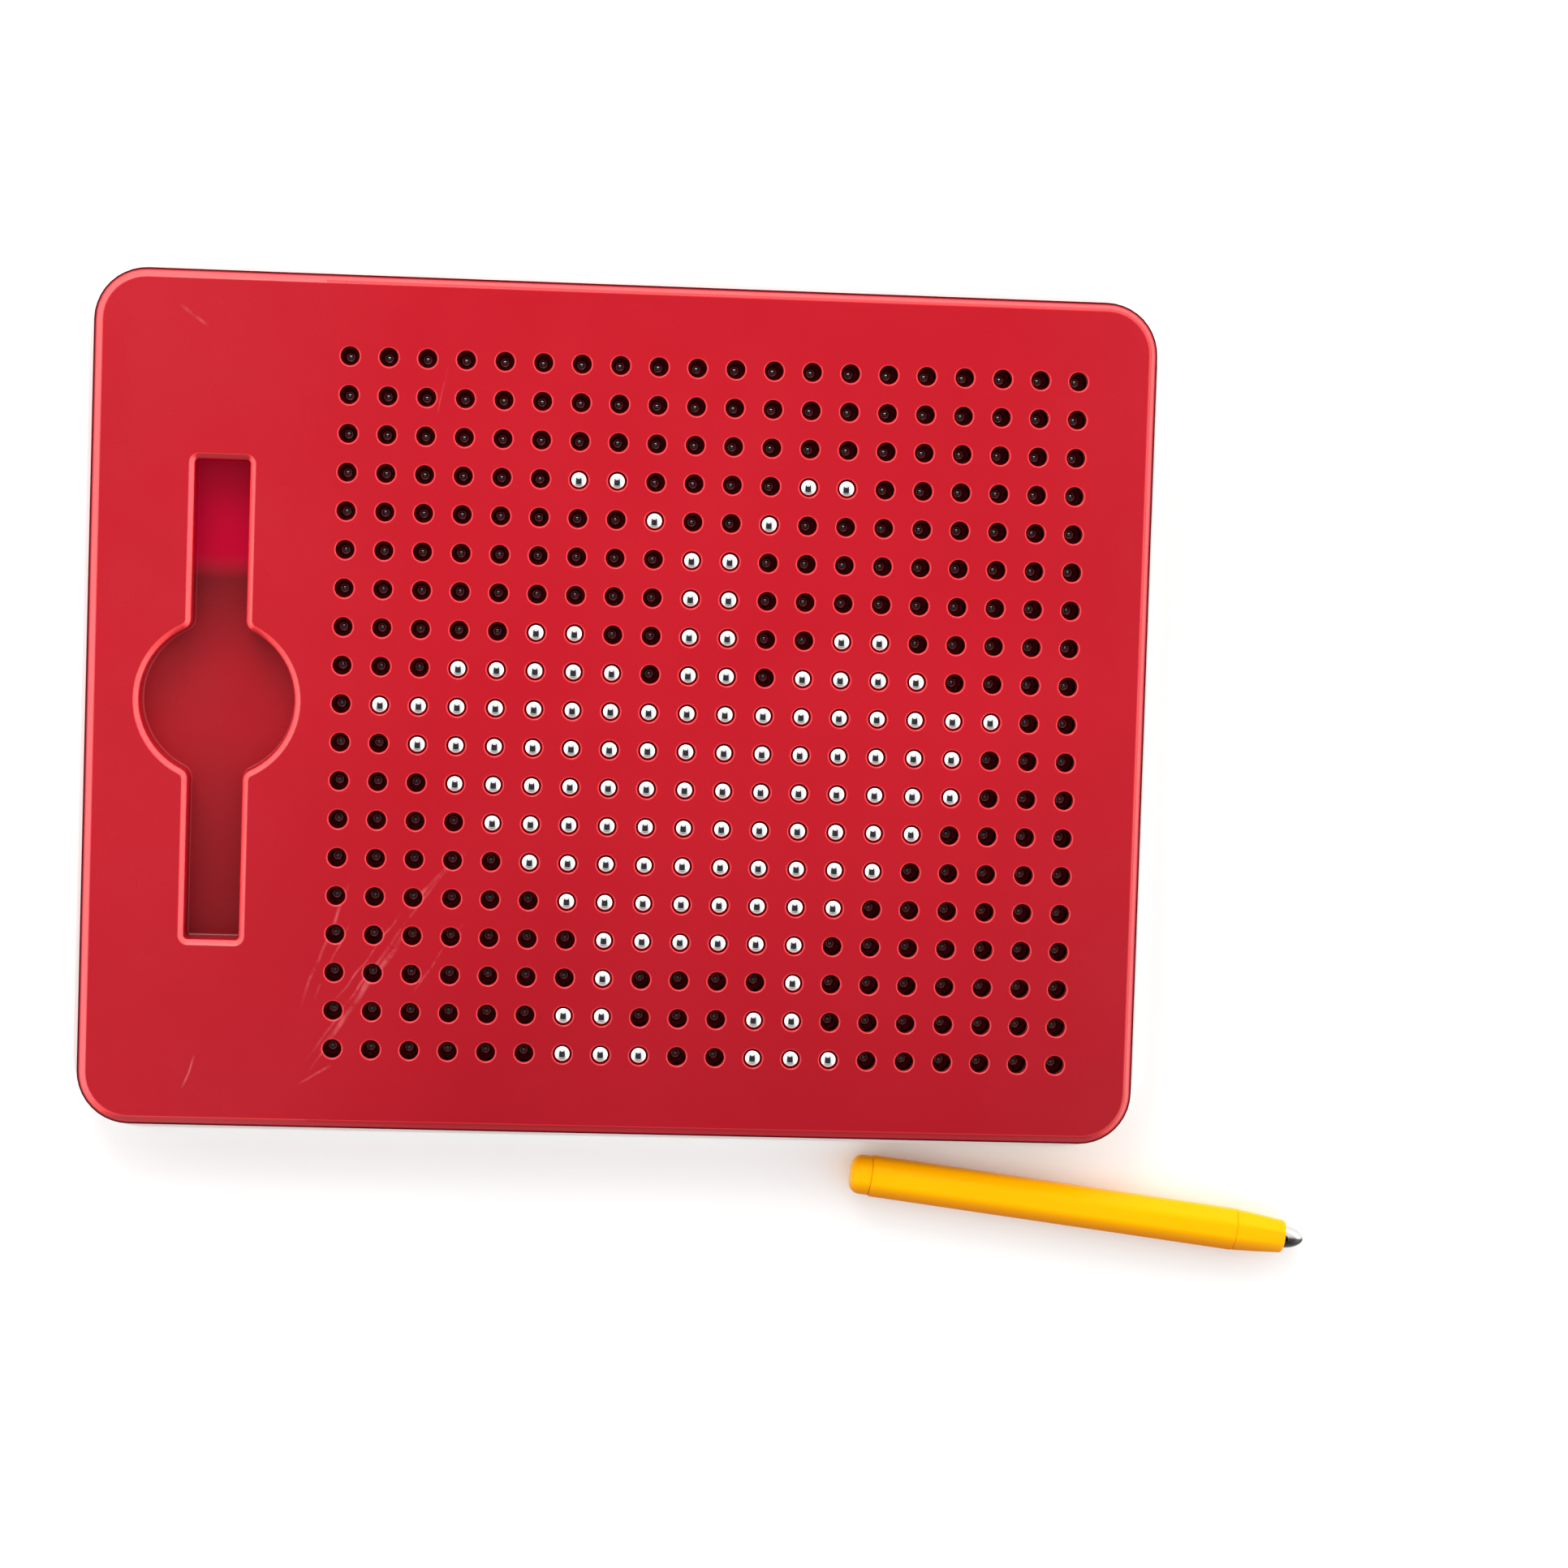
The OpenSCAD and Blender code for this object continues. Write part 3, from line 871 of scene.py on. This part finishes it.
def studio_walls():
    """White all round, brightest low down so that bevels stand out from the face, dimmer at the foot."""
    world = bpy.data.worlds.new("studio")
    world.use_nodes = True
    bpy.context.scene.world = world
    tree = world.node_tree
    background = tree.nodes["Background"]
    place = tree.nodes.new("ShaderNodeTexCoord").outputs["Generated"]
    split = tree.nodes.new("ShaderNodeSeparateXYZ")
    tree.links.new(place, split.inputs["Vector"])
    height = spread(tree, split.outputs["Z"], (0.30, 0.62), (2.7, 1.05))
    near_side = spread(tree, split.outputs["Y"], (-0.85, -0.40), (0.3, 1.0))
    product = tree.nodes.new("ShaderNodeMath")
    product.operation = "MULTIPLY"
    tree.links.new(height, product.inputs[0])
    tree.links.new(near_side, product.inputs[1])
    tree.links.new(product.outputs[0], background.inputs["Strength"])
    background.inputs["Color"].default_value = (1, 1, 1, 1)


def new_object(name, made, material):
    mesh = bpy.data.meshes.new(name)
    made.to_mesh(mesh)
    made.free()
    mesh.materials.append(material)
    obj = bpy.data.objects.new(name, mesh)
    bpy.context.scene.collection.objects.link(obj)
    return obj


def photographer():
    """A plain dark shape above the camera, seen only in the polished steel; in metres."""
    half = [(0.78, -1.10), (0.64, 0.05), (0.56, 0.58), (0.40, 0.56), (0.30, 0.32)]
    outline = half + [(-x, y) for x, y in half[::-1]]
    aside, height = -0.03, 1.25
    made = bmesh.new()
    made.faces.new([made.verts.new((x + aside, y, height)) for x, y in outline])
    cloth = Nodes("dark_cloth", Base_Color=(0.01, 0.01, 0.012, 1), Roughness=0.9).material
    figure = new_object("photographer", made, cloth)
    figure.visible_camera = False
    figure.visible_shadow = False
    figure.visible_diffuse = False


def room():
    studio_walls()
    photographer()
    area_light("key", (-0.25, 0.75, 0.6), (0, 0.02, 0), (0.6, 0.4), 3.2)
    bpy.context.scene.view_settings.view_transform = "Standard"

    b = Builder()
    b.area(rounded_rectangle(TABLE_SIZE, TABLE_SIZE, 200), [], TABLE_Z)
    table = new_object("table", b.mesh, floor_material())


def paint_cad(materials):
    """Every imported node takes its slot's material; those that a finer piece replaces are hidden anyway."""
    for entry in frame["record"]["subparts"]:
        obj = frame["nodes"][entry["node"]]
        obj.data.materials.clear()
        obj.data.materials.append(materials[entry["material_slot"]])


def corners(box):
    return [[round(float(v), 6) for v in corner] for corner in box]


place_camera()
materials = make_materials()
paint_cad(materials)
front_cover(materials["red_cover"])
back_cover(materials["white_cover"])
bead_rows(materials["bead_steel"])
stylus(materials["yellow_plastic"], materials["tip_steel"])
room()
